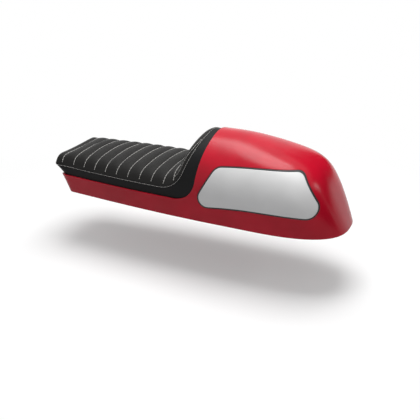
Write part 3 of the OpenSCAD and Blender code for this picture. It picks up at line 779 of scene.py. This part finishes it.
def seatStations():
    # finer near each stitch line, where the cover turns sharply
    nose = np.linspace(0, pad["nose"], 10)
    share = (1 - np.cos(np.linspace(0, np.pi, 15))) / 2
    channels = [pad["first"] + pad["pitch"] * (i + q) for i in range(pad["count"]) for q in share[:-1]]
    return np.concatenate([nose, pad["noseSteps"], channels, [lastChannel]])


def rimIds(rows, cols, start):
    return ([start + c for c in range(cols)] + [start + r * cols + cols - 1 for r in range(1, rows)]
            + [start + (rows - 1) * cols + c for c in range(cols - 2, -1, -1)]
            + [start + r * cols for r in range(rows - 2, 0, -1)])


def coverSlab(name, stations, raised):
    upper = [coverRow(t, 0, raised) for t in stations]
    lower = [coverRow(t, pad["cover"]) for t in stations]
    rows, cols = len(upper), len(columns)
    faces = gridFaces(rows, cols) + [f[::-1] for f in gridFaces(rows, cols, rows * cols)]
    a, b = rimIds(rows, cols, 0), rimIds(rows, cols, rows * cols)
    return newPiece(name, np.vstack(upper + lower), faces + joined(a, b))


pucker = {"height": 0.35, "spread": 4, "wave": 11, "longWave": 37, "before": 8, "uneven": 0.5, "half": 95}


def creased(piece):
    # needle puckers: the cover gathers slightly along each stitch line, and rests unevenly on its foam
    mesh = piece.data
    count = len(mesh.vertices)
    co = np.empty(count * 3)
    mesh.vertices.foreach_get("co", co)
    co = co.reshape(-1, 3)
    x, y = co[:, 0] * 1000 + halfLength, co[:, 1] * 1000
    phase = ((x - pad["first"]) / pad["pitch"]) % 1
    near = np.exp(-(np.minimum(phase, 1 - phase) * pad["pitch"] / pucker["spread"]) ** 2)
    near = near * (x > pad["first"] - pucker["before"]) * (x < lastChannel)
    lift = near * pucker["height"] * np.sin(y * 2 * np.pi / pucker["wave"] + 1.7 * np.sin(x * 0.05)) \
        * np.cos(y * 2 * np.pi / pucker["longWave"] + x * 0.04)
    soft = pucker["uneven"] * np.sin(x * 0.021 + 1.3) * np.sin(y * 0.043 + 0.4 + x * 0.006)
    co[:, 2] += (lift + soft) * (np.abs(y) < pucker["half"]) / 1000
    mesh.vertices.foreach_set("co", co.ravel())
    mesh.update()


def padded(piece):
    return piece


stations = seatStations()
seatPanel = coverSlab("pleatedPanel", stations, 1.0)
creased(seatPanel)
padded(dress(seatPanel, pleatVinyl, "black_vinyl", 60, "pleated_panel"))
faceStations = np.linspace(lastChannel + pad["gap"], endTravel, 60)
facing = coverSlab("bolsterFacing", faceStations, 0.0)
padded(dress(facing, pleatVinyl, "black_vinyl", 60, "bolster_facing"))
print("cover made")


# Side band

def frontAt(turn, z, inset):
    return shell["frontSetback"] + inset + shell["cornerRadius"] * (1 - math.cos(turn)) \
        - z * math.tan(math.radians(shell["frontRake"])) * math.cos(turn)


def settledAt(t, z, inset):
    if t < pad["nose"]:
        return frontAt(noseTurn(t), z, inset)
    if t < pad["settle"]:
        share = (t - pad["nose"]) / (pad["settle"] - pad["nose"])
        return mixed(frontAt(math.pi / 2, z, inset), pad["settle"], share)
    return t


# Where the base line starts to run ahead of the seam
spreadStart = sweepFrom - pad["spreadLead"]
basePath = np.array([(spreadStart, shell["trayHeight"])] + archSweep(25) + [(archLine(sweepZ), sweepZ)])


def bulkhead(z):
    return archLine(z) + shell["pocket"] - pad["fit"]


pocketPath = np.array([(spreadStart, foamFloor), (bulkhead(foamFloor), foamFloor),
                       (bulkhead(sweepZ), sweepZ)])


def along(path, share):
    steps = np.concatenate([[0], np.cumsum(np.linalg.norm(np.diff(path, axis=0), axis=1))])
    return np.array([np.interp(share * steps[-1], steps, path[:, k]) for k in (0, 1)])


def underLine(t, depth, z, path, wall):
    if t < spreadStart:
        return np.array((settledAt(t, z, padIn + depth), z))
    if t < sweepTravel:
        return along(path, (t - spreadStart) / (sweepTravel - spreadStart))
    top = mixed(sweepZ, topZ - depth, ease(t))
    return np.array((wall(top), top))


def underPoint(p, t, e, depth):
    w = halfAt(p[0], p[1], padIn + depth) - shell["cornerRadius"] * (1 - math.sin(noseTurn(t)))
    bulge = 0 if t < sweepTravel else pad["topRise"] * ease(t) * (1 - rollDrop(e * w) / rollDrop(w))
    return np.array((p[0], w * e, p[1] + bulge))


def basePoint(t, e, depth):
    return underPoint(underLine(t, depth, shell["trayHeight"], basePath, archLine), t, e, depth)


def pocketPoint(t, e, depth):
    return underPoint(underLine(t, depth, foamFloor, pocketPath, bulkhead), t, e, depth)


def skirtPoint(t, e, depth):
    b = basePoint(t, e, depth)
    v = pocketPoint(t, e, depth) - b
    return b + pad["skirt"] * v / np.linalg.norm(v)


def edgeWalk(stations):
    return ([(stations[0], e) for e in columns] + [(t, -1.0) for t in stations[1:]]
            + [(stations[-1], -e) for e in columns[1:]] + [(t, 1.0) for t in stations[-2:0:-1]])


def topEdge(stations, depth):
    rows = {t: coverRow(t, depth) for t in stations}
    last = len(columns) - 1
    walk = [(stations[0], c) for c in range(last + 1)] + [(t, last) for t in stations[1:]]
    walk += [(stations[-1], last - c) for c in range(1, last + 1)] + [(t, 0) for t in stations[-2:0:-1]]
    return np.array([rows[t][c] for t, c in walk])


bandStations = np.concatenate([np.linspace(0, pad["nose"], 10), np.linspace(12, lastChannel - 4, 92),
                               faceStations])


def makeBand():
    walk = edgeWalk(bandStations)
    n = len(walk)
    depths = (0, pad["cover"])
    tops = [topEdge(bandStations, depth) for depth in depths]
    bases = [np.array([basePoint(t, e, depth) for t, e in walk]) for depth in depths]
    skirts = [np.array([skirtPoint(t, e, depth) for t, e in walk]) for depth in depths]
    starts = [top + pad["gap"] * (base - top) / np.linalg.norm(base - top, axis=1)[:, None]
              for top, base in zip(tops, bases)]
    shares = (0, 0.04, 0.12, 0.25, 0.4, 0.55, 0.7, 0.85, 0.95, 1)
    rings = [mixed(starts[0], bases[0], share) for share in shares] + skirts + [bases[1], starts[1]]
    points = np.vstack(rings)
    faces = [f for r in range(len(rings)) for f in loopFaces(r * n, (r + 1) % len(rings) * n, n)]
    return newPiece("sideBand", points, faces)


band = makeBand()
padded(dress(band, plainShadedVinyl, "black_vinyl", 60, "side_band"))
print("side band made")


def makeFoam():
    # rows just under the cover, down to the base board
    depth = pad["cover"] + pad["gap"]
    rows = [coverRow(t, depth) for t in bandStations]
    floor = [np.array([pocketPoint(t, e, depth) for e in columns]) for t in bandStations]
    base = np.array([basePoint(t, e, depth) for t, e in edgeWalk(bandStations)])
    count, cols = len(rows), len(columns)
    n = count * cols
    faces = gridFaces(count, cols) + [f[::-1] for f in gridFaces(count, cols, n)]
    ring = range(2 * n, 2 * n + len(base))
    faces += joined(rimIds(count, cols, 0), ring) + joined(ring, rimIds(count, cols, n))
    return newPiece("foamCore", np.vstack(rows + floor + [base]), faces)


padded(dress(makeFoam(), foam, "foam", 60, "foam_core"))
print("foam made")


# Stitching, laid along its paths with geometry nodes

# The thread is drawn thicker than real, so that it shows at the size of the photograph.
stitching = {"pitch": 4.6, "length": 4.2, "radius": 0.8, "seamRadius": 0.45, "cover": 0.965, "below": 2.6,
             "inside": 7, "rowLift": 0.4, "seamLift": 0.3, "before": 30, "after": 4}


def stitchTree():
    tree = bpy.data.node_groups.new("stitchRun", "GeometryNodeTree")
    face = tree.interface
    face.new_socket("Path", in_out="INPUT", socket_type="NodeSocketGeometry")
    for name in ("Pitch", "Length", "Radius"):
        socket = face.new_socket(name, in_out="INPUT", socket_type="NodeSocketFloat")
        socket.default_value = stitching[name.lower()] / 1000
    face.new_socket("Stitches", in_out="OUTPUT", socket_type="NodeSocketGeometry")
    given = add(tree, "NodeGroupInput")
    path = add(tree, "GeometryNodeCurveToPoints", {"mode": "LENGTH"}, Curve=given.outputs["Path"],
               Length=given.outputs["Pitch"])
    single = add(tree, "GeometryNodeCurvePrimitiveLine", {"mode": "DIRECTION"}, Direction=(0, 0, 1),
                 Length=given.outputs["Length"])
    lift = add(tree, "ShaderNodeMath", {"operation": "MULTIPLY"}, i0=given.outputs["Length"], i1=-0.5)
    offset = add(tree, "ShaderNodeCombineXYZ", Z=lift.outputs[0])
    centre = add(tree, "GeometryNodeSetPosition", Geometry=single.outputs[0], Offset=offset.outputs[0])
    fine = add(tree, "GeometryNodeResampleCurve", Curve=centre.outputs[0], Count=5)
    share = add(tree, "GeometryNodeSplineParameter")
    angle = add(tree, "ShaderNodeMath", {"operation": "MULTIPLY"}, i0=share.outputs["Factor"], i1=math.pi)
    swell = add(tree, "ShaderNodeMath", {"operation": "SINE"}, i0=angle.outputs[0])
    width = add(tree, "ShaderNodeMapRange", Value=swell.outputs[0], i1=0.0, i2=1.0, i3=0.35, i4=1.0)
    ring = add(tree, "GeometryNodeCurvePrimitiveCircle", Resolution=6, Radius=given.outputs["Radius"])
    tube = add(tree, "GeometryNodeCurveToMesh", Curve=fine.outputs[0], Profile_Curve=ring.outputs[0],
               Fill_Caps=True)
    if "Scale" in tube.inputs:
        tree.links.new(width.outputs[0], tube.inputs["Scale"])
    laid = add(tree, "GeometryNodeInstanceOnPoints", Points=path.outputs["Points"], Instance=tube.outputs[0],
               Rotation=path.outputs["Rotation"])
    real = add(tree, "GeometryNodeRealizeInstances", Geometry=laid.outputs[0])
    painted = add(tree, "GeometryNodeSetMaterial", Geometry=real.outputs[0], Material=thread)
    add(tree, "NodeGroupOutput", Stitches=painted.outputs[0])
    return tree


stitchRun = stitchTree()


def sewn(name, paths, radius):
    # one mesh of stitches along several paths, each a list of points in millimetres
    data = bpy.data.curves.new(name + "Path", "CURVE")
    data.dimensions = "3D"
    for path in paths:
        spline = data.splines.new("POLY")
        spline.points.add(len(path) - 1)
        for point, co in zip(spline.points, inFrame(path)):
            point.co = (*co, 1)
    guide = bpy.data.objects.new(name + "Path", data)
    bpy.context.scene.collection.objects.link(guide)
    modifier = guide.modifiers.new("stitches", "NODES")
    modifier.node_group = stitchRun
    ids = {item.name: item.identifier for item in stitchRun.interface.items_tree if item.in_out == "INPUT"}
    modifier[ids["Pitch"]] = stitching["pitch"] / 1000
    modifier[ids["Length"]] = stitching["length"] / 1000
    modifier[ids["Radius"]] = radius / 1000
    bpy.context.view_layer.update()
    ready = guide.evaluated_get(bpy.context.evaluated_depsgraph_get())
    mesh = bpy.data.meshes.new_from_object(ready)
    mesh.name = name
    piece = bpy.data.objects.new(name, mesh)
    bpy.context.scene.collection.objects.link(piece)
    bpy.data.objects.remove(guide)
    return piece


fineColumns = np.linspace(stitching["cover"], -stitching["cover"], 160)


def rowPath(t):
    # across the pad in a groove between two channels
    row = coverRow(t, 0, 1.0, fineColumns)
    n = normalOf(t)
    row[:, 0] += n[0] * stitching["rowLift"]
    row[:, 2] += n[1] * stitching["rowLift"]
    return row


def seamPath():
    # just under the seam, all round the band
    walk = edgeWalk(bandStations)
    edge = topEdge(bandStations, 0)
    base = np.array([basePoint(t, e, 0) for t, e in walk])
    down = (base - edge) / np.linalg.norm(base - edge, axis=1)[:, None]
    out = np.stack([np.zeros(len(edge)), np.sign(edge[:, 1]), np.zeros(len(edge))], 1)
    return edge + stitching["below"] * down + stitching["seamLift"] * out


def bolsterPath(side):
    # second row of stitches on the cover, up one side of the bolster
    path = []
    for t in np.linspace(sweepTravel - stitching["before"], endTravel - stitching["after"], 90):
        e = side * (1 - stitching["inside"] / seamHalf(t, 0))
        row, n = coverRow(t, 0, 0, np.array([e]))[0], normalOf(t)
        path.append(row + stitching["seamLift"] * np.array((n[0], side * 0.5, n[1])))
    return np.array(path)


channelLines = [rowPath(pad["first"] + pad["pitch"] * i) for i in range(pad["count"] + 1)]
dress(sewn("channelStitches", channelLines, stitching["radius"]), thread, "black_vinyl", 60)
seamLines = [seamPath(), bolsterPath(1), bolsterPath(-1)]
dress(sewn("seamStitches", seamLines, stitching["seamRadius"]), thread, "black_vinyl", 60)
print("stitching laid")


# CAD pieces that keep their shape

for name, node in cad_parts.items():
    look = None
    if name.startswith(("frame_boss", "pad_studs", "pad_washers", "pad_nuts")):
        look = steel
    elif name.startswith("rubber_buffer"):
        look = rubber
    elif name == "pad_base":
        look = boardPaint
    if look:
        node.data.materials.clear()
        node.data.materials.append(look)


# Floor, world and lamps

# The floor is grey to scattered light, so that the gloss red keeps its depth.
stage = {"floorZ": -0.138, "floorHalf": 12, "paper": "#F8F8F8", "grey": "#6E6E70", "card": "#1C1C1C",
         "near": 0.55, "far": 0.95, "glow": 0.25, "room": 0.35}


def seenDirectly(tree):
    # 1 for the camera and for mirror and clear surfaces, 0 for scattered light
    path = add(tree, "ShaderNodeLightPath")
    either = add(tree, "ShaderNodeMath", {"operation": "MAXIMUM"}, i0=path.outputs["Is Camera Ray"],
                 i1=path.outputs["Is Glossy Ray"])
    return add(tree, "ShaderNodeMath", {"operation": "MAXIMUM"}, i0=either.outputs[0],
               i1=path.outputs["Is Transmission Ray"]).outputs[0]


def blended(tree, share, first, second):
    node = add(tree, "ShaderNodeMixShader", Fac=share)
    tree.links.new(first.outputs[0], node.inputs[1])
    tree.links.new(second.outputs[0], node.inputs[2])
    return node


def makeFloor():
    # white paper: shadows fall on it near the seat, and farther off it is plain white
    mesh = bpy.data.meshes.new("floor")
    r, z = stage["floorHalf"], stage["floorZ"]
    mesh.from_pydata([(-r, -r, z), (r, -r, z), (r, r, z), (-r, r, z)], [], [(0, 1, 2, 3)])
    floor = bpy.data.objects.new("floor", mesh)
    bpy.context.scene.collection.objects.link(floor)
    material, tree = newMaterial("paperFloor")
    place = add(tree, "ShaderNodeTexCoord").outputs["Object"]
    flat = add(tree, "ShaderNodeVectorMath", {"operation": "MULTIPLY"}, i0=place, i1=(1, 1, 0))
    reach = add(tree, "ShaderNodeVectorMath", {"operation": "LENGTH"}, i0=flat.outputs[0])
    away = add(tree, "ShaderNodeMapRange", Value=reach.outputs["Value"], i1=stage["near"], i2=stage["far"],
               i3=stage["glow"])
    paper = add(tree, "ShaderNodeBsdfDiffuse", Color=linear(stage["paper"]))
    white = add(tree, "ShaderNodeEmission", Strength=1.0)
    grey = add(tree, "ShaderNodeBsdfDiffuse", Color=linear(stage["grey"]))
    seen = blended(tree, away.outputs[0], paper, white)
    finishMaterial(tree, blended(tree, seenDirectly(tree), grey, seen))
    mesh.materials.append(material)


def makeLight(name, place, aim, size, power, sizeY=None):
    # places and sizes of lamps and cards are in metres
    data = bpy.data.lights.new(name, "AREA")
    data.shape = "RECTANGLE"
    data.size, data.size_y = size, sizeY or size
    data.energy = power
    lamp = bpy.data.objects.new(name, data)
    bpy.context.scene.collection.objects.link(lamp)
    lamp.location = place
    lamp.rotation_euler = (Vector(aim) - Vector(place)).to_track_quat("-Z", "Y").to_euler()


def makeCard(name, middle, wide, high):
    # dark card out of the picture, facing the seat, that keeps white out of the tail's reflections
    mesh = bpy.data.meshes.new(name)
    middle = Vector(middle)
    side = Vector((middle.y, -middle.x, 0)).normalized()
    up = side.cross(-middle).normalized()
    corners = ((-1, -1), (1, -1), (1, 1), (-1, 1))
    mesh.from_pydata([middle + side * a * wide + up * b * high for a, b in corners], [], [(0, 1, 2, 3)])
    card = bpy.data.objects.new(name, mesh)
    bpy.context.scene.collection.objects.link(card)
    card.visible_camera = False
    material, tree = newMaterial(name + "Cloth")
    finishMaterial(tree, add(tree, "ShaderNodeBsdfDiffuse", Color=linear(stage["card"])))
    mesh.materials.append(material)


def makeWorld():
    world = bpy.data.worlds.new("studio")
    bpy.context.scene.world = world
    world.use_nodes = True
    tree = world.node_tree
    tree.nodes.clear()
    room = add(tree, "ShaderNodeBackground", Color=(1, 1, 1, 1), Strength=stage["room"])
    paper = add(tree, "ShaderNodeBackground", Color=(1, 1, 1, 1), Strength=1.0)
    add(tree, "ShaderNodeOutputWorld", Surface=blended(tree, seenDirectly(tree), room, paper).outputs[0])


makeFloor()
makeWorld()
makeCard("backCard", (1.3, 1.9, 1.0), 1.5, 0.9)
makeCard("tailCard", (2.0, -0.3, 0.45), 1.1, 0.6)
makeLight("topSoftbox", (-0.05, 0.3, 2.0), (0.05, 0, 0.05), 1.3, 42, 1.4)
makeLight("frontFill", (0.9, -2.4, 1.1), (0, 0, 0.05), 1.4, 13)
makeLight("tailFill", (2.0, 0.6, 1.0), (0.3, 0, 0.05), 0.5, 6)
bpy.context.scene.view_settings.view_transform = "Standard"
print("stage set")
